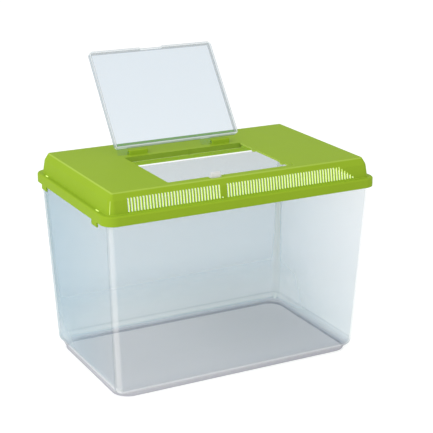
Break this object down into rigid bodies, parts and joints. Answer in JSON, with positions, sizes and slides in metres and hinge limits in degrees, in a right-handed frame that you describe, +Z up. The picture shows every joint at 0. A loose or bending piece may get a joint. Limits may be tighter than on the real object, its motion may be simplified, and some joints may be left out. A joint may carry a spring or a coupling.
{
  "type": "plastic pet keeper",
  "caption": "Clear drafted tank with a green lid that clips over its rim and has rows of air slots and a feeding hatch with a clear door that swings up and back.",
  "frame": {"origin": "centre of the tank's foot, on the surface that it stands on", "axes": "+X along the length to the right, -Y to the front where the catch is, +Z up; the hatch door is stored open"},
  "size_m": [0.413, 0.2785, 0.4232],
  "materials": {
    "clear_tank": "clear moulded plastic with a faint blue cast, polished",
    "green_lid": "apple green moulded plastic, satin",
    "clear_door": "clear moulded plastic, polished",
    "clear_catch": "clear moulded plastic, slightly milky"
  },
  "bodies": {
    "base": {"tank": "clear_tank"},
    "lid_body": {"lid": "green_lid"},
    "door_body": {"hatch_door": "clear_door"},
    "catch_body": {"door_catch": "clear_catch"}
  },
  "joints": [
    {"name": "lid_lift", "type": "slide", "parent": "base", "child": "lid_body", "axis": [0, 0, 1], "range_m": [0, 0.03]},
    {"name": "door_hinge", "type": "hinge", "parent": "lid_body", "child": "door_body", "pos_m": [-0.0137, 0.051, 0.294], "axis": [1, 0, 0], "range_deg": [0, 126.8]},
    {"name": "catch_spring", "type": "slide", "parent": "lid_body", "child": "catch_body", "axis": [0, -1, 0], "range_m": [0, 0.0015], "stiffness_N_per_m": 900}
  ]
}
